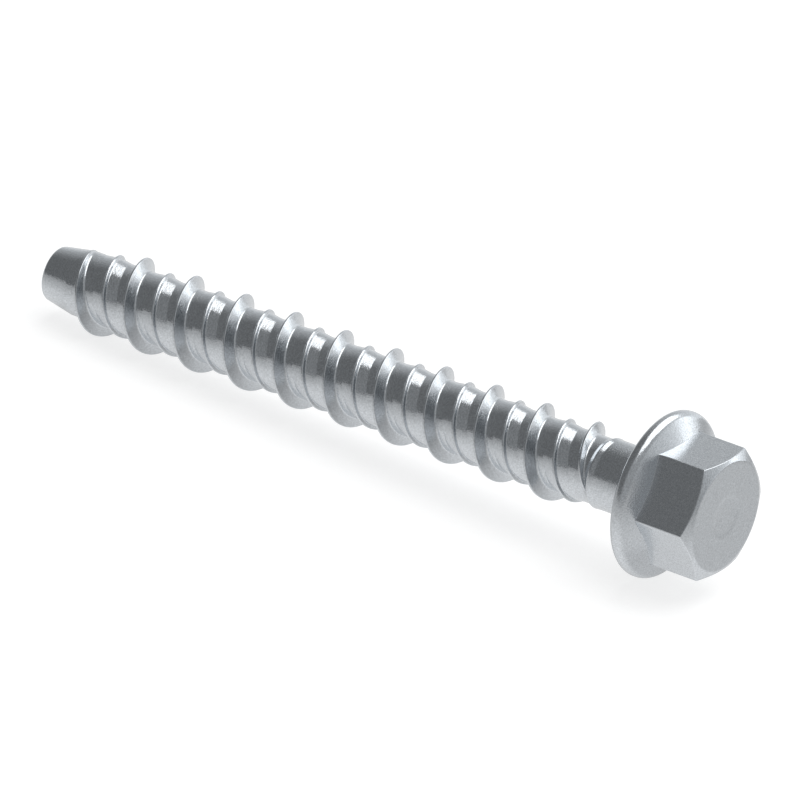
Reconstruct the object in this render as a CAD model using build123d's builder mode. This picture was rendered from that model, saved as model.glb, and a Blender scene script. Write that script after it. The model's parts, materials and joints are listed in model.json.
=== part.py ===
from build123d import *
import os
from math import asin, atan, atan2, cos, degrees, hypot, radians, sin, tan

# Sizes in millimetres, angles in degrees. Heights run along the screw's own
# axis from the bearing face under the flange: up to the head, down to the tip.

# Hexagon head
across_flats = 10.0
head_height = 6.75
head_land_diameter = 9.45
head_chamfer_angle = 24.0
dish_diameter = 3.8
dish_depth = 0.08

# Flange forged in one with the head
flange_diameter = 14.2
rim_round = 0.7
rim_edge_diameter = 13.8
rim_edge_height = 1.27
flange_slope = 21.5
flange_crown = 0.03
flange_overlap = 0.5

# Plain shank, threaded core and flat tip
length = 60.0
shank_diameter = 6.0
underhead_chamfer = 0.2
shoulder_start = 4.5
shoulder_length = 0.8
core_diameter = 5.6
tip_length = 2.75
tip_diameter = 4.6
tip_chamfer = 0.16

# The two starts lie half a turn apart and share one pitch
pitch = 5.0
thread_top = 7.25
run_in_turns = 0.5
run_out_turns = 0.42

# High cutting thread, sharp at its crest
thread_diameter = 7.5
flank_angle = 29.0

# Low thread, sharp as well, on its raised band
low_thread_diameter = 6.4
low_flank_angle = 32.0
band_width = 2.44
band_height = 0.13

# How far the threads reach below the surfaces that carry them
root_depth = 0.3
band_root_depth = 0.04
sunk_turns = 0.12

# How far the screw is rolled about its axis as it lies
resting_roll = 205.7

flange_radius = flange_diameter / 2
rim_edge_radius = rim_edge_diameter / 2
core_radius = core_diameter / 2
shank_radius = shank_diameter / 2
thread_radius = thread_diameter / 2
low_thread_radius = low_thread_diameter / 2
thread_bottom = length - tip_length - run_in_turns * pitch
thread_turns = (thread_bottom - thread_top) / pitch


def rise(run, angle):
    """The rise of a slope over a level run."""
    return run * tan(radians(angle))


def high_thread_section():
    """Corners of the high thread's section: radius, place along the axis."""
    root = core_radius - root_depth
    root_half = rise(thread_radius - root, flank_angle)
    return [(root, -root_half), (thread_radius, 0), (root, root_half)]


def low_thread_section():
    """Corners of the low thread's section, with the raised band at its foot."""
    root = core_radius - root_depth
    band_foot = core_radius - band_root_depth
    band_top = core_radius + band_height
    foot_half = rise(low_thread_radius - band_top, low_flank_angle)
    band_slope = (band_width / 2 - foot_half) / band_height
    band_half = band_width / 2 + band_root_depth * band_slope
    return [
        (root, -band_half),
        (band_foot, -band_half),
        (band_top, -foot_half),
        (low_thread_radius, 0),
        (band_top, foot_half),
        (band_foot, band_half),
        (root, band_half),
    ]


def ridge(corners, turns, sinking_turns=0.0):
    """A section swept up a helix. It may sink to the core in so many turns."""
    sinking = 0.0
    if sinking_turns:
        sinking = degrees(atan((thread_radius - core_radius) / (sinking_turns * pitch)))
    with BuildPart() as swept_ridge:
        with BuildLine() as helix_line:
            Helix(pitch, turns * pitch, core_radius, cone_angle=-sinking)
        with BuildSketch(Plane.XZ):
            with BuildLine():
                Polyline(*corners, close=True)
            make_face()
        sweep(path=helix_line.line, is_frenet=True)
    return swept_ridge.part


def thread(corners, start_angle):
    """One start: full height between its two ends, and sunk away beyond them."""
    lower_end = Location((0, 0, -thread_bottom), (0, 0, start_angle))
    upside_down = Location((0, 0, 0), (180, 0, 0))
    upper_end = Location((0, 0, -thread_top), (0, 0, start_angle + 360 * thread_turns))
    return [
        ridge(corners, thread_turns).moved(lower_end),
        ridge(corners, run_in_turns + sunk_turns, run_in_turns).moved(lower_end * upside_down),
        ridge(corners, run_out_turns + sunk_turns, run_out_turns).moved(upper_end),
    ]


def leaning(crest_place, crest_radius):
    """The tilt at which the flange's rim and a crest both touch the floor."""
    run = crest_place + rim_round
    drop = flange_radius - rim_round - crest_radius
    return atan2(drop, run) + asin(rim_round / hypot(drop, run))


# The hexagon is turned to a cone at its top, with a round land and a shallow dish
blank_radius = across_flats
head_land_radius = head_land_diameter / 2
dish_radius = dish_diameter / 2
cone_edge_height = head_height - rise(blank_radius - head_land_radius, head_chamfer_angle)
with BuildPart() as hexagon:
    with BuildSketch():
        RegularPolygon(across_flats / 2, 6, major_radius=False)
    extrude(amount=head_height)
    with BuildSketch(Plane.XZ):
        with BuildLine():
            dish = TangentArc(
                (0, head_height - dish_depth), (dish_radius, head_height), tangent=(1, 0)
            )
            Polyline(
                dish @ 1,
                (head_land_radius, head_height),
                (blank_radius, cone_edge_height),
                (blank_radius, 0),
                (0, 0),
                dish @ 0,
            )
        make_face()
    revolve(axis=Axis.Z, mode=Mode.INTERSECT)

# Flange, shank, core and tip are one turned profile, and the threads stand on it
cone_radius = across_flats / 2 - flange_overlap
cone_height = rim_edge_height + rise(rim_edge_radius - cone_radius, flange_slope)
cone_middle = (
    (rim_edge_radius + cone_radius) / 2,
    (rim_edge_height + cone_height) / 2 + flange_crown,
)
underhead_corner = (shank_radius, 0)
rim_corner = (rim_edge_radius, rim_edge_height)
tip_corner = (tip_diameter / 2, -length)
with BuildPart() as upright_screw:
    add(hexagon.part)
    with BuildSketch(Plane.XZ) as turned_profile:
        with BuildLine():
            rim = CenterArc((flange_radius - rim_round, rim_round), rim_round, -90, 90)
            Line(rim @ 1, rim_corner)
            ThreePointArc(rim_corner, cone_middle, (cone_radius, cone_height))
            Polyline(
                (cone_radius, cone_height),
                (0, cone_height),
                (0, -length),
                tip_corner,
                (core_radius, tip_length - length),
                (core_radius, -shoulder_start - shoulder_length),
                (shank_radius, -shoulder_start),
                underhead_corner,
                rim @ 0,
            )
        make_face()
        corners = turned_profile.vertices()
        chamfer(corners.sort_by_distance(underhead_corner)[0], underhead_chamfer)
        corners = turned_profile.vertices()
        chamfer(corners.sort_by_distance(tip_corner)[0], tip_chamfer)
    revolve(axis=Axis.Z)
    add(thread(high_thread_section(), 0) + thread(low_thread_section(), 180))

# It lies on the flange's rim and on the lowest crest near the tip, which is the
# last full one that faces the floor or, one turn on, what the run-in left of it
floor_turns = (resting_roll + 180) % 360 / 360
full_crest_place = thread_bottom - floor_turns * pitch
run_in_left = 1 - (1 - floor_turns) / run_in_turns
run_in_radius = core_radius + (thread_radius - core_radius) * run_in_left
tilt = min(
    leaning(full_crest_place, thread_radius),
    leaning(full_crest_place + pitch, run_in_radius),
)
roll = radians(resting_roll)
lying_plane = Plane(
    origin=(0, 0, 0),
    x_dir=(-sin(tilt) * cos(roll), sin(roll), cos(tilt) * cos(roll)),
    z_dir=(cos(tilt), 0, sin(tilt)),
)
with BuildPart() as lying_screw:
    with Locations(lying_plane):
        add(upright_screw.part)

# The origin is on the floor, in the middle below the screw
extent = lying_screw.part.bounding_box()
middle = extent.center()
with BuildPart() as concrete_screw:
    with Locations((-middle.X, -middle.Y, -extent.min.Z)):
        add(lying_screw.part)
concrete_screw.part.label = "concrete_screw"

os.makedirs("parts", exist_ok=True)
export_step(concrete_screw.part, "parts/concrete_screw.step")
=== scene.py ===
import json
import math
import bmesh
import bpy
import numpy as np
from mathutils import Matrix


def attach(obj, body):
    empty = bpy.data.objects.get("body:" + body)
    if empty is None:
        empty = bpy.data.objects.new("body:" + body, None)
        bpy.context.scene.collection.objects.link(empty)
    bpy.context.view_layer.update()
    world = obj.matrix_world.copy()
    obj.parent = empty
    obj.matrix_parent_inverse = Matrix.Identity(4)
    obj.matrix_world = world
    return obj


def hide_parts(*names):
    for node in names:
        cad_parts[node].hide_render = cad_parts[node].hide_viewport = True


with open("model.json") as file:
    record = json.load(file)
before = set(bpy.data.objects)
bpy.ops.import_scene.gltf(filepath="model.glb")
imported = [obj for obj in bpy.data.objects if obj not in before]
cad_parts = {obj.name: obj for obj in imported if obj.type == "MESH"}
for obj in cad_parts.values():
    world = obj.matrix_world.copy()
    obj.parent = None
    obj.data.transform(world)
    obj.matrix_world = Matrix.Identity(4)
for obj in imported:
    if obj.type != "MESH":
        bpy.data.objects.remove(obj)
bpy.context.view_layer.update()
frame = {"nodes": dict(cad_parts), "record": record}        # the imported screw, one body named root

mm = 0.001  # sizes are in millimetres, degrees and turns, unless a note says metres
tiny = 1e-9  # keeps a division clear of zero
print("frame loaded:", ", ".join(sorted(frame["nodes"])))


# The screw itself. Heights run along its axis from the bearing face, up to the head. The length,
# the ring's place and the shoulder's foot are distances below that face. The dish's knee lies at
# a share of its radius and a share of its depth.
screw = {
    "acrossFlats": 10.0, "headHeight": 6.75, "landDiameter": 9.4, "chamferAngle": 28.0,
    "dishDiameter": 3.8, "dishDepth": 0.05, "dishKnee": (0.8, 0.7),
    "dishKneeRound": 1.2, "dishEdgeRound": 1.5, "cornerRound": 0.22,
    "landRound": 0.35, "chamferRound": 0.07, "headFootRound": 0.04,
    "flangeDiameter": 14.2, "rimHeight": 1.12, "rimRound": 0.62, "rimFootRound": 0.7,
    "flangeSlope": 23.0, "flangeCrown": 0.02, "coneTopDiameter": 9.0,
    "length": 60.0, "shankDiameter": 5.94, "underheadRound": 0.3,
    "ringPlace": 4.9, "ringRise": 0.05, "ringSlope": 0.4, "ringRound": 0.25, "shoulderFoot": 5.4,
    "coreDiameter": 5.6,
    "tipLength": 2.75, "tipDiameter": 4.6, "tipRound": 0.28,
    "restingRoll": 205.7, "hexMountHeight": 4.3,
}

# Its two threads, half a turn apart. Top is the upper end of the full thread, below the bearing
# face, and the band's width is that of its foot.
threads = {
    "pitch": 5.0, "top": 7.25, "runInTurns": 0.5, "runInPower": 1.5,
    "runOutTurns": 0.42, "runOutBend": 0.55, "bendPower": 5,
    "highDiameter": 7.5, "highCrest": 0.18, "highFlank": 26.5, "highHollow": 0.035,
    "highCrestRound": 0.1, "highRootRound": 0.12,
    "lowDiameter": 6.4, "lowCrest": 0.2, "lowCrestDrop": 0.035, "lowFlank": 16.0,
    "lowCrestRound": 0.06,
    "bandWidth": 2.44, "bandHeight": 0.13, "bandRound": 0.06, "bandFootRound": 0.35,
}

# How finely the surface is divided. Corner columns stand so many degrees beside each corner of
# the hexagon. Cuts are shares of a line, and an arc takes up no more than the share arcRoom of
# the shorter line beside it. Points nearer than the weld become one.
mesh = {
    "columns": 90, "cornerColumns": (0.45, 0.9, 1.25, 1.9),
    "headCuts": (0.04, 0.96), "threadCuts": (0.08, 0.92), "closeCuts": 12, "closeLaps": 3,
    "arcRoom": 0.48, "weld": 0.0002, "sharpAngle": 32.0,
}


# Place of the screw in the frame: the middle of its bearing face, its axis up to the head, and
# two spokes across the axis at right angles, turned by the roll that says which side faces up
def screwPlace():
    drive = next(mount for mount in frame["record"]["mounts"] if mount["name"] == "hex_drive")
    axis = np.array(drive["axis"], float)
    axis = axis / np.linalg.norm(axis)
    foot = np.array(drive["pos_m"], float) - screw["hexMountHeight"] * mm * axis
    upright = np.array([-axis[2], 0.0, axis[0]])  # across the axis, as far up as can be
    sideways = np.array([0.0, 1.0, 0.0])
    roll = math.radians(screw["restingRoll"])
    first = math.cos(roll) * upright + math.sin(roll) * sideways
    second = math.sin(roll) * upright - math.cos(roll) * sideways
    return foot, axis, first, second


# A run of straight lines whose inner corners are arcs. With a turn t at a corner, the arc of
# radius r starts r tan(t/2) before it, and its points are start + r (sin a ahead + (1 - cos a)
# aside) for a from 0 to t. A corner is its two coordinates, each one number or one for every
# column, its radius, the steps of its arc, and the shares at which the line that leads to it
# is cut, so that its shading stays flat.
def roundedRun(columnCount, corners):
    level = np.zeros(columnCount)
    points = np.stack([np.stack([level + corner[0], level + corner[1]], -1) for corner in corners], 1)
    radii, arcSteps, cuts = zip(*(corner[2:] for corner in corners))
    runs = np.diff(points, axis=1)
    lengths = np.linalg.norm(runs, axis=-1)
    ways = runs / np.maximum(lengths, tiny)[..., None]
    last = points[:, 0]
    rows = [last]
    for number in range(1, len(corners) - 1):
        way, nextWay = ways[:, number - 1], ways[:, number]
        turn = np.arctan2(way[:, 0] * nextWay[:, 1] - way[:, 1] * nextWay[:, 0],
                          (way * nextWay).sum(-1))
        reach = radii[number] * np.tan(np.abs(turn) / 2)
        room = mesh["arcRoom"] * np.minimum(lengths[:, number - 1], lengths[:, number])
        share = np.minimum(1.0, room / np.maximum(reach, tiny))
        aside = np.stack([-way[:, 1], way[:, 0]], -1) * np.sign(turn)[:, None]
        start = points[:, number] - (reach * share)[:, None] * way
        rows += [last + (start - last) * cut for cut in cuts[number]]
        for step in range(arcSteps[number] + 1):
            angle = np.abs(turn) * step / arcSteps[number]
            moved = np.sin(angle)[:, None] * way + (1 - np.cos(angle))[:, None] * aside
            rows.append(start + (radii[number] * share)[:, None] * moved)
        last = rows[-1]
    rows += [last + (points[:, -1] - last) * cut for cut in cuts[-1]]
    rows.append(points[:, -1])
    return np.stack(rows, axis=1)


# Angles of the columns: even steps, and a few more beside each of the six corners
def columnAngles():
    even = np.arange(mesh["columns"] + 1) * 360.0 / mesh["columns"]
    beside = [60.0 * corner + side * extra
              for corner in range(7) for side in (-1, 1) for extra in mesh["cornerColumns"]]
    angles = np.unique(np.round(np.concatenate([even, beside]), 6))
    return angles[(angles >= 0) & (angles <= 360)]


# Radius of the hexagon at an angle: apothem / cos(angle from the middle of the flat), and
# near a corner the arc c cos(a) + sqrt(r^2 - c^2 sin^2(a)) of a circle that touches both flats
def hexagonRadius(angles):
    apothem, corner = screw["acrossFlats"] / 2, screw["cornerRound"]
    off = np.radians((angles + 30) % 60 - 30)  # from the nearest corner
    flat = apothem / np.cos(np.pi / 6 - np.abs(off))
    centre = (apothem - corner) / math.cos(math.pi / 6)
    reach = math.pi / 6 - math.atan2(centre * math.sin(math.pi / 6), apothem)
    inside = np.maximum(corner ** 2 - (centre * np.sin(off)) ** 2, 0)
    return np.where(np.abs(off) < reach, centre * np.cos(off) + np.sqrt(inside), flat)


# Height of the flange's cone at a radius: a straight slope with a parabola's crown on it,
# 4 crown t (1 - t), with t from 0 at the rim to 1 at the cone's top
def flangeHeight(radius):
    edge, top = screw["flangeDiameter"] / 2, screw["coneTopDiameter"] / 2
    share = np.clip((edge - radius) / (edge - top), 0, 1)
    slope = math.tan(math.radians(screw["flangeSlope"]))
    straight = screw["rimHeight"] + (edge - radius) * slope
    return straight + 4 * screw["flangeCrown"] * share * (1 - share)


# Rows of the head, from the middle of its top out over the chamfer, down the hexagon, over the
# flange and in below it to the plain shank. Only the hexagon's radius differs round the screw.
def headRows(angles):
    hexagon = hexagonRadius(angles)
    top, land, dish = screw["headHeight"], screw["landDiameter"] / 2, screw["dishDiameter"] / 2
    rim, shank = screw["flangeDiameter"] / 2, screw["shankDiameter"] / 2
    kneeOut, kneeDown = screw["dishKnee"]
    knee = top - kneeDown * screw["dishDepth"]
    drop = (hexagon - land) * math.tan(math.radians(screw["chamferAngle"]))
    ends = mesh["headCuts"]
    middled = (ends[0], 0.5, ends[1])
    rows = roundedRun(len(angles), [
        (0, top - screw["dishDepth"], 0, 0, ()),
        (kneeOut * dish, knee, screw["dishKneeRound"], 4, (0.35, 0.7)),
        (dish, top, screw["dishEdgeRound"], 4, ends),
        (land, top, screw["landRound"], 4, middled),
        (hexagon, top - drop, screw["chamferRound"], 4, ends),
        (hexagon, flangeHeight(hexagon), screw["headFootRound"], 3, (0.03, 0.5, 0.97)),
        (rim, screw["rimHeight"], screw["rimRound"], 8, (0.04, 0.3, 0.6, 0.9)),
        (rim, 0, screw["rimFootRound"], 8, ends),
        (shank, 0, screw["underheadRound"], 5, ends),
        (shank, screw["ringSlope"] - screw["ringPlace"], screw["ringRound"], 2, middled),
        (shank + screw["ringRise"], -screw["ringPlace"], 0, 0, ends),
    ])
    foot = hexagon[:, None] + 0.02  # the crown starts just outside the hexagon
    onCone = (rows[..., 1] > screw["rimHeight"]) & (rows[..., 0] > foot)
    slope = math.tan(math.radians(screw["flangeSlope"]))
    straight = screw["rimHeight"] + (rim - rows[..., 0]) * slope
    rows[..., 1] += np.where(onCone, flangeHeight(rows[..., 0]) - straight, 0)
    return rows


# How far both threads have sunk into the core at a place along the helix, in turns from the
# lower end of the full thread: nothing between its ends. Past the upper end they sink evenly
# down to the core, and past the lower end by a power of the way, slowly at first.
def threadSink(turns, fullTurns):
    depth = (threads["highDiameter"] - screw["coreDiameter"]) / 2
    before = np.clip(-turns / threads["runInTurns"], 0, None) ** threads["runInPower"]
    after = np.clip((turns - fullTurns) / threads["runOutTurns"], 0, None)
    return depth * (before + after)


# How far the high crest bends up towards the head as it runs out, by a power of the way
def crestBend(turns, fullTurns):
    share = np.clip((turns - fullTurns) / threads["runOutTurns"], 0, 1)
    return threads["runOutBend"] * share ** threads["bendPower"]


# Radius of what carries the threads: the core, and the shoulder that leads up to the ring
# below the shank in an S, core + rise (3 t^2 - 2 t^3)
def carrierRadius(height):
    core, ring = screw["coreDiameter"] / 2, screw["shankDiameter"] / 2 + screw["ringRise"]
    foot, top = screw["shoulderFoot"], screw["ringPlace"]
    share = np.clip((height + foot) / (foot - top), 0, 1)
    return core + (ring - core) * share ** 2 * (3 - 2 * share)


# One lap of the threads, from a high crest down over the low thread on its band to the next
# high crest. Its rows are (distance below the upper crest, height over the core), and its place
# is the upper crest's, in turns from the lower end of the full thread. The low crest is a narrow
# land that drops a little towards the head. The high flanks are hollow by 4 hollow t (1 - t),
# with t the share of the crest's height.
def lapRows(place, fullTurns, between):
    core, pitch = screw["coreDiameter"] / 2, threads["pitch"]
    crest, lowCrest = threads["highCrest"] / 2, threads["lowCrest"]
    highSlope = math.tan(math.radians(threads["highFlank"]))
    lowSlope = math.tan(math.radians(threads["lowFlank"]))
    crests = (place, place - 1)  # the upper one and the lower one
    bend = [crestBend(crestPlace, fullTurns) for crestPlace in crests]
    highFull = threads["highDiameter"] / 2 - core
    high = [np.maximum(highFull - threadSink(crestPlace, fullTurns), 0) for crestPlace in crests]

    sink = threadSink(place - 0.5, fullTurns)
    lowFull = threads["lowDiameter"] / 2 - core
    low = np.maximum(lowFull - sink, 0)
    lowDropped = np.maximum(low - threads["lowCrestDrop"], 0)
    band = np.maximum(threads["bandHeight"] - sink, 0)
    bandTop = lowCrest / 2 + (low - band) * lowSlope
    bandTopFull = lowCrest / 2 + (lowFull - threads["bandHeight"]) * lowSlope
    bandSpread = threads["bandWidth"] / 2 - bandTopFull
    bandFoot = bandTop + bandSpread * band / threads["bandHeight"]

    plain = mesh["threadCuts"]
    flank = (plain[0], 0.5, plain[1])
    rows = roundedRun(len(place), [
        (-bend[0], high[0], 0, 0, ()),
        (crest - bend[0], high[0], threads["highCrestRound"], 3, ()),
        (crest + high[0] * highSlope - bend[0], 0, threads["highRootRound"], 3, flank),
        (pitch / 2 - bandFoot, 0, threads["bandFootRound"], 2, between),
        (pitch / 2 - bandTop, band, threads["bandRound"], 3, between),
        ((pitch - lowCrest) / 2, lowDropped, threads["lowCrestRound"], 3, ()),
        ((pitch + lowCrest) / 2, low, threads["lowCrestRound"], 3, ()),
        (pitch / 2 + bandTop, band, threads["bandRound"], 3, ()),
        (pitch / 2 + bandFoot, 0, threads["bandFootRound"], 2, between),
        (pitch - crest - high[1] * highSlope - bend[1], 0, threads["highRootRound"], 3, between),
        (pitch - crest - bend[1], high[1], threads["highCrestRound"], 3, flank),
        (pitch - bend[1], high[1], 0, 0, ()),
    ])[:, :-1]
    for crestNumber, way in ((0, -1), (1, 1)):  # each flank draws in towards its own crest
        onFlank = np.abs(rows[..., 0] - crestNumber * pitch) < pitch / 4
        share = np.clip(rows[..., 1] / np.maximum(high[crestNumber], tiny)[:, None], 0, 1)
        rows[..., 0] += np.where(onFlank, way * 4 * threads["highHollow"] * share * (1 - share), 0)
    return rows


# Rows of the threaded stretch, lap by lap. They follow the helix: a row lies pitch * angle / 360
# higher than in the first column. What would lie past the stretch's two ends is gathered there.
# The laps at the shoulder are cut more closely, and the next one meets them at the seam.
def threadRows(angles):
    core, pitch = screw["coreDiameter"] / 2, threads["pitch"]
    zoneTop = -screw["ringPlace"]
    zoneBottom = screw["tipLength"] - screw["length"]
    fullBottom = zoneBottom + threads["runInTurns"] * pitch
    fullTurns = (-threads["top"] - fullBottom) / pitch
    plain = mesh["threadCuts"]
    close = np.arange(1, mesh["closeCuts"]) / mesh["closeCuts"]
    atSeam = (angles == angles[-1])[:, None]
    joining = [np.where(atSeam, cut, plain[int(cut > 0.5)]) for cut in close]
    topLap = int(fullTurns) + 2
    bottomLap = -int(math.floor(threads["runInTurns"])) - 1
    joiningLap = topLap - mesh["closeLaps"]
    every = []
    for lap in range(topLap, bottomLap - 1, -1):
        place = lap + angles / 360
        between = close if lap > joiningLap else joining if lap == joiningLap else plain
        rows = lapRows(place, fullTurns, between)
        height = (fullBottom + pitch * place)[:, None] - rows[..., 0]
        inside = (height < zoneTop) & (height > zoneBottom)
        height = np.clip(height, zoneBottom, zoneTop)
        carried = np.where(inside, core + rows[..., 1], 0)
        every.append(np.stack([np.maximum(carrierRadius(height), carried), height], -1))
    return np.concatenate(every, axis=1)


# Rows of the tip: a short cone, its rounded edge and the flat end
def tipRows(angles):
    return roundedRun(len(angles), [
        (screw["coreDiameter"] / 2, screw["tipLength"] - screw["length"], 0, 0, ()),
        (screw["tipDiameter"] / 2, -screw["length"], screw["tipRound"], 6, (0.06, 0.35, 0.65, 0.95)),
        (0, -screw["length"], 0, 0, (0.05, 0.5)),
    ])


# The whole skin in one grid of columns and rows. A row is a radius and a height along the axis,
# and its point is foot + height * axis + radius * (cos(angle) first + sin(angle) second).
def buildScrew():
    angles = columnAngles()
    rows = np.concatenate([headRows(angles), threadRows(angles), tipRows(angles)], axis=1)
    foot, axis, first, second = screwPlace()
    radius, height = rows[..., :1], rows[..., 1:]
    around = np.radians(angles)[:, None, None]
    out = np.cos(around) * first + np.sin(around) * second
    points = foot + mm * (height * axis + radius * out)
    columnCount, rowCount = rows.shape[:2]
    number = np.arange(columnCount * rowCount).reshape(columnCount, rowCount)
    quads = np.stack([number[:-1, :-1], number[:-1, 1:], number[1:, 1:], number[1:, :-1]], -1)
    quads = quads.reshape(-1, 4)
    skin = bpy.data.meshes.new("concreteScrew")
    skin.vertices.add(columnCount * rowCount)
    skin.vertices.foreach_set("co", points.reshape(-1).astype(np.float32))
    skin.loops.add(quads.size)
    skin.loops.foreach_set("vertex_index", quads.reshape(-1).astype(np.int32))
    skin.polygons.add(len(quads))
    skin.polygons.foreach_set("loop_start", (np.arange(len(quads)) * 4).astype(np.int32))
    skin.update(calc_edges=True)
    closeSkin(skin)
    piece = bpy.data.objects.new("concreteScrew", skin)
    bpy.context.scene.collection.objects.link(piece)
    return piece


# Seam, poles and the rows that meet at the thread's ends become one closed skin, facing out
def closeSkin(skin):
    work = bmesh.new()
    work.from_mesh(skin)
    bmesh.ops.remove_doubles(work, verts=work.verts, dist=mesh["weld"] * mm)
    bmesh.ops.dissolve_degenerate(work, edges=work.edges, dist=mesh["weld"] * mm)
    bmesh.ops.recalc_face_normals(work, faces=work.faces)
    triangles = sum(len(face.verts) - 2 for face in work.faces)
    openEdges = sum(1 for edge in work.edges if len(edge.link_faces) != 2)
    volume = round(work.calc_volume() / mm ** 3, 1)
    print("skin:", len(work.verts), "points,", triangles, "triangles,", openEdges, "open edges,",
          "volume", volume, "mm3")
    work.to_mesh(skin)
    work.free()
    skin.shade_smooth()
    skin.set_sharp_from_angle(angle=math.radians(mesh["sharpAngle"]))


# A math node, fed by sockets or by plain numbers
def worked(tree, operation, *values):
    node = tree.nodes.new("ShaderNodeMath")
    node.operation = operation
    for socket, value in zip(node.inputs, values):
        if isinstance(value, (int, float)):
            socket.default_value = value
        else:
            tree.links.new(value, socket)
    return node.outputs[0]


# A value carried from one range to another, smoothly or along a line
def ramp(tree, value, start, end, first=0.0, last=1.0, kind="SMOOTHSTEP"):
    node = tree.nodes.new("ShaderNodeMapRange")
    node.interpolation_type = kind
    node.inputs["From Min"].default_value, node.inputs["From Max"].default_value = start, end
    node.inputs["To Min"].default_value, node.inputs["To Max"].default_value = first, last
    tree.links.new(value, node.inputs["Value"])
    return node.outputs["Result"]


# The three coordinates of a place, as sockets named X, Y and Z
def split(tree, place):
    node = tree.nodes.new("ShaderNodeSeparateXYZ")
    tree.links.new(place, node.inputs["Vector"])
    return node.outputs


# Bright zinc on rolled and forged steel: a fine grain and a coarser mottling
zinc = {
    "colour": (0.625, 0.65, 0.675), "toneSpread": 0.16,
    "headRoughness": 0.2, "threadRoughness": 0.16, "roughnessSpread": 0.05,
    "grainSize": 0.13, "grainDetail": 2.0, "grainDepth": 0.009,
    "mottleSize": 0.5, "mottleDetail": 3.0, "mottleDepth": 0.0045,
}


# A noise with spots of about a size, by its coordinates on the screw. It lies between 0 and 1,
# and mostly between 0.25 and 0.75.
def noise(tree, place, size, detail, label):
    node = tree.nodes.new("ShaderNodeTexNoise")
    node.label = label
    node.inputs["Scale"].default_value = 1 / (size * mm)
    node.inputs["Detail"].default_value = detail
    tree.links.new(place, node.inputs["Vector"])
    return node.outputs["Fac"]


# Roughness: the forged head's or the rolled thread's, plus spread (2 mottle - 1)
def zincGloss(tree, place, mottle):
    foot = screwPlace()[0]
    onHead = worked(tree, "GREATER_THAN", split(tree, place)["X"], float(foot[0]))
    duller = zinc["headRoughness"] - zinc["threadRoughness"]
    smoothest = zinc["threadRoughness"] - zinc["roughnessSpread"]
    gloss = worked(tree, "MULTIPLY_ADD", onHead, duller, smoothest)
    return worked(tree, "MULTIPLY_ADD", mottle, 2 * zinc["roughnessSpread"], gloss)


# Colour: the zinc's times 1 + spread (4 grain - 2)
def zincTone(tree, grain):
    spread = zinc["toneSpread"]
    share = worked(tree, "MULTIPLY_ADD", grain, 4 * spread, 1 - 2 * spread)
    tone = tree.nodes.new("ShaderNodeVectorMath")
    tone.operation = "SCALE"
    tone.inputs[0].default_value = zinc["colour"]
    tree.links.new(share, tone.inputs["Scale"])
    return tone.outputs["Vector"]


# Both patterns stand out as bumps, the grain on the mottling
def zincBumps(tree, mottle, grain):
    normal = None
    for pattern, depth in ((mottle, zinc["mottleDepth"]), (grain, zinc["grainDepth"])):
        bump = tree.nodes.new("ShaderNodeBump")
        bump.inputs["Strength"].default_value = 1.0
        bump.inputs["Distance"].default_value = depth * mm
        tree.links.new(pattern, bump.inputs["Height"])
        if normal:
            tree.links.new(normal, bump.inputs["Normal"])
        normal = bump.outputs["Normal"]
    return normal


# The finish of the whole screw, on its own coordinates
def zincMaterial():
    material = bpy.data.materials.new("brightZinc")
    material.use_nodes = True
    tree = material.node_tree
    shader = tree.nodes["Principled BSDF"]
    shader.inputs["Metallic"].default_value = 1.0
    place = tree.nodes.new("ShaderNodeTexCoord").outputs["Object"]
    grain = noise(tree, place, zinc["grainSize"], zinc["grainDetail"], "grain")
    mottle = noise(tree, place, zinc["mottleSize"], zinc["mottleDetail"], "mottle")
    tree.links.new(zincGloss(tree, place, mottle), shader.inputs["Roughness"])
    tree.links.new(zincTone(tree, grain), shader.inputs["Base Color"])
    tree.links.new(zincBumps(tree, mottle, grain), shader.inputs["Normal"])
    return material


piece = buildScrew()
piece.data.materials.append(zincMaterial())
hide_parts("concrete_screw")
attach(piece, "root")
print("screw built")


# The camera of the photograph: a very long lens, so that nothing converges. The bearing face's
# middle lies at a pixel of the 800 x 800 picture, and a millimetre across the view has a size in
# pixels. The camera's distance is measured to the screw's middle, and its clip is in metres.
view = {
    "lens": 1500.0, "sensor": 36.0, "picture": 800.0, "pixelsPerMm": 12.28,
    "footPixel": (656.4, 491.2), "roll": 20.0, "towards": 60.3, "middle": -28.0,
    "clip": (0.01, 100.0),
}


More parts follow.
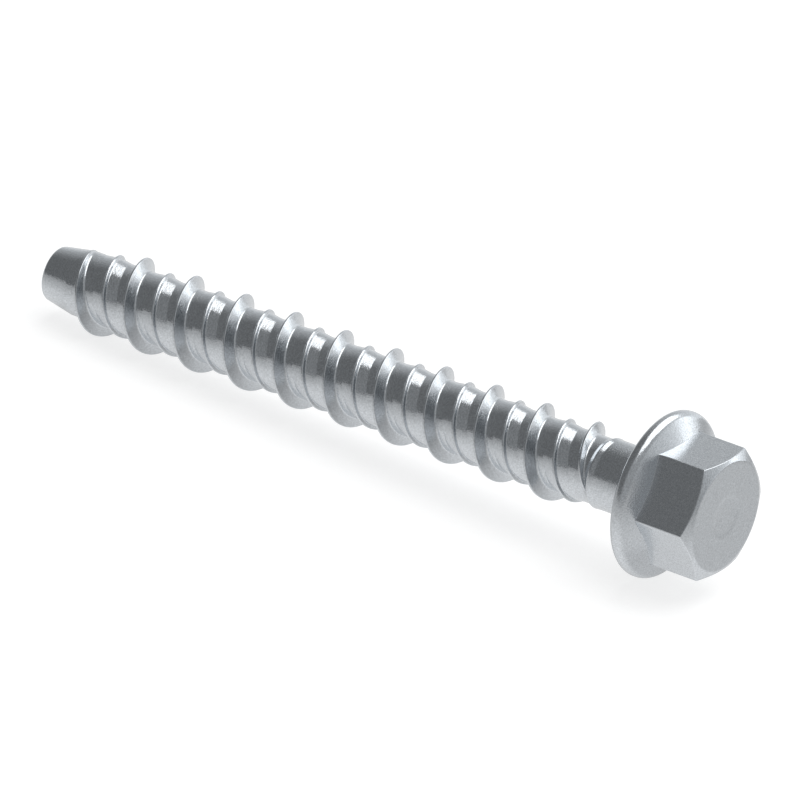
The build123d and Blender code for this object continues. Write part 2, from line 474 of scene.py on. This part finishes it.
# The screw's axis falls by the roll angle in the picture and comes towards the viewer at an angle
# to the line of sight. The first spoke is opposite the side that the picture shows uppermost.
def buildCamera():
    foot, axis, first, second = screwPlace()
    up, near = -first, -second  # the sides at the top of the picture and nearest to the camera
    roll, lean = math.radians(view["roll"]), math.radians(view["towards"])
    right = (math.sin(lean) * math.cos(roll) * axis + math.sin(roll) * up
             - math.cos(lean) * math.cos(roll) * near)
    upward = (-math.sin(lean) * math.sin(roll) * axis + math.cos(roll) * up
              + math.cos(lean) * math.sin(roll) * near)
    back = np.cross(right, upward)
    half = view["picture"] / 2
    across = (view["footPixel"][0] - half) / view["pixelsPerMm"] * mm
    down = (view["footPixel"][1] - half) / view["pixelsPerMm"] * mm
    target = foot - across * right + down * upward
    width = view["picture"] / view["pixelsPerMm"] * mm
    distance = width * view["lens"] / view["sensor"]
    depth = float(np.dot(view["middle"] * mm * axis, back))
    eye = target + (distance + depth) * back
    data = bpy.data.cameras.new("photoCamera")
    data.lens, data.sensor_width, data.sensor_fit = view["lens"], view["sensor"], "HORIZONTAL"
    data.clip_start, data.clip_end = view["clip"]
    camera = bpy.data.objects.new("photoCamera", data)
    pose = np.eye(4)
    pose[:3] = np.stack([right, upward, back, eye], -1)
    camera.matrix_world = Matrix(pose.tolist())
    bpy.context.scene.collection.objects.link(camera)
    bpy.context.scene.camera = camera
    print("camera elevation", round(math.degrees(math.asin(back[2])), 1))


# Plain pale floor. It shines a little by itself, so that it is white in the picture and still
# takes the screw's shadow. In the zinc it shines as well, as a painted reflection: most where it
# is seen from straight above, and as a painted pool of light behind the screw as far as the head.
# Its size and limits are in metres.
floorLook = {
    "size": 8.0, "colour": 0.34, "roughness": 0.9, "specular": 0.1,
    # mirrorLift and far set the painted reflection and the painted pool of light that the zinc shows
    "lift": 0.75, "mirrorLift": 0.71, "mirrorLeast": 0.07,
    "behind": (-0.006, 0.005), "beside": (0.04, 0.032), "far": 0.58,
}


# Strength of its shine: lift for the camera, and for mirrored and refracted rays mirrorLeast +
# mirrorLift max(sin(angle to the floor), far S(y) S(x)), each S a smooth step between its two
# limits. Past the even mirrorLeast this is painted reflection. The sin term makes the floor in the
# zinc brighter towards straight below, and far S(y) S(x) is a painted pool of light under and
# behind the screw as far as the head, which hides the screw's own shadow there in the zinc. For
# any other ray the floor is plain.
def floorShine(tree):
    path = tree.nodes.new("ShaderNodeLightPath").outputs
    mirrored = worked(tree, "MAXIMUM", path["Is Glossy Ray"], path["Is Transmission Ray"])
    slant = tree.nodes.new("ShaderNodeLayerWeight")
    place = split(tree, tree.nodes.new("ShaderNodeTexCoord").outputs["Object"])
    # painted pool of light on the floor, seen only in the zinc, under and behind the screw up to the
    # head
    paintedPool = worked(tree, "MULTIPLY", ramp(tree, place["Y"], *floorLook["behind"]),
                    ramp(tree, place["X"], *floorLook["beside"], last=floorLook["far"]))
    # painted reflection: the floor looks brighter in the zinc where it is seen from straight above
    paintedGlow = worked(tree, "MAXIMUM", worked(tree, "SUBTRACT", 1.0, slant.outputs["Facing"]), paintedPool)
    shine = worked(tree, "MULTIPLY_ADD", paintedGlow, floorLook["mirrorLift"], floorLook["mirrorLeast"])
    shine = worked(tree, "MULTIPLY", mirrored, shine)
    return worked(tree, "MULTIPLY_ADD", path["Is Camera Ray"], floorLook["lift"], shine)


# A level square under the screw, which isn't part of it
def buildFloor():
    half = floorLook["size"] / 2
    corners = [(-half, -half, 0), (half, -half, 0), (half, half, 0), (-half, half, 0)]
    sheet = bpy.data.meshes.new("floor")
    sheet.from_pydata(corners, [], [(0, 1, 2, 3)])
    floor = bpy.data.objects.new("floor", sheet)
    bpy.context.scene.collection.objects.link(floor)
    material = bpy.data.materials.new("paleFloor")
    material.use_nodes = True
    tree = material.node_tree
    shader = tree.nodes["Principled BSDF"]
    shader.inputs["Base Color"].default_value = (floorLook["colour"],) * 3 + (1,)
    shader.inputs["Roughness"].default_value = floorLook["roughness"]
    shader.inputs["Specular IOR Level"].default_value = floorLook["specular"]
    shader.inputs["Emission Color"].default_value = (1, 1, 1, 1)
    tree.links.new(floorShine(tree), shader.inputs["Emission Strength"])
    sheet.materials.append(material)


# The studio round the screw, faintly blue: dim, a little lighter on the right, lighter behind,
# most near the horizon there, and with a tall narrow panel of light on the right behind.
# Two softboxes hang level overhead, with places and sizes in metres.
studio = {
    "colour": (0.975, 1.0, 1.02), "dim": 0.175, "right": 0.21, "rightFrom": -0.55, "rightTo": 0.05,
    "behind": 0.43, "behindTo": 0.95, "low": 0.28, "lowTo": 0.4,
    "panel": 0.82, "panelTurn": 58.0, "panelHalf": (0.18, 0.05), "panelTop": (0.5, 0.3),
}
softboxes = {
    "main": {"size": (2.5, 2.2), "place": (0.14, 1.36, 2.0), "turn": 12.9, "radiance": 1.6},
    "front": {"size": (1.8, 1.5), "place": (0.39, -0.05, 2.0), "turn": 33.0, "radiance": 1.6},
}


# Strength of the panel in a direction: panel S(off) S(z), with off the distance sideways from
# its middle and each S a smooth step between its two limits, and nothing on the opposite side
def panelLight(tree, x, y, z):
    turn = math.radians(studio["panelTurn"])
    ahead = worked(tree, "MULTIPLY_ADD", x, math.cos(turn), worked(tree, "MULTIPLY", y, math.sin(turn)))
    off = worked(tree, "MULTIPLY_ADD", x, math.sin(turn), worked(tree, "MULTIPLY", y, -math.cos(turn)))
    panel = ramp(tree, worked(tree, "ABSOLUTE", off), *studio["panelHalf"], last=studio["panel"])
    panel = worked(tree, "MULTIPLY", panel, worked(tree, "GREATER_THAN", ahead, 0.0))
    return worked(tree, "MULTIPLY", panel, ramp(tree, z, *studio["panelTop"]))


# Strength of the world in a direction (x, y, z): dim + right S(x) + S(y) (behind +
# low (1 - z / lowTo)) + the panel, each S a smooth step between its limits, and z / lowTo
# kept between 0 and 1
def buildWorld():
    world = bpy.data.worlds.new("studio")
    bpy.context.scene.world = world
    world.use_nodes = True
    tree = world.node_tree
    x, y, z = split(tree, tree.nodes.new("ShaderNodeTexCoord").outputs["Generated"])
    panel = panelLight(tree, x, y, z)
    horizon = studio["behind"] + studio["low"]
    low = ramp(tree, z, 0.0, studio["lowTo"], horizon, studio["behind"], "LINEAR")
    right = ramp(tree, x, studio["rightFrom"], studio["rightTo"], last=studio["right"])
    strength = worked(tree, "ADD", right, studio["dim"])
    strength = worked(tree, "MULTIPLY_ADD", ramp(tree, y, 0.0, studio["behindTo"]), low, strength)
    strength = worked(tree, "ADD", strength, panel)
    shade = tree.nodes["Background"]
    shade.inputs["Color"].default_value = studio["colour"] + (1,)
    tree.links.new(strength, shade.inputs["Strength"])


# A softbox of 1 W/m2/sr sends pi W from each square metre
def buildSoftbox(name, size, place, turn, radiance):
    data = bpy.data.lights.new(name, "AREA")
    data.shape = "RECTANGLE"
    data.size, data.size_y = size
    data.energy = radiance * math.pi * data.size * data.size_y
    lamp = bpy.data.objects.new(name, data)
    lamp.location = place
    lamp.rotation_euler = (0, 0, math.radians(turn))
    bpy.context.scene.collection.objects.link(lamp)


buildCamera()
buildFloor()
buildWorld()
for name, softbox in softboxes.items():
    buildSoftbox(name, **softbox)
bpy.context.scene.view_settings.view_transform = "Standard"
print("stage built")
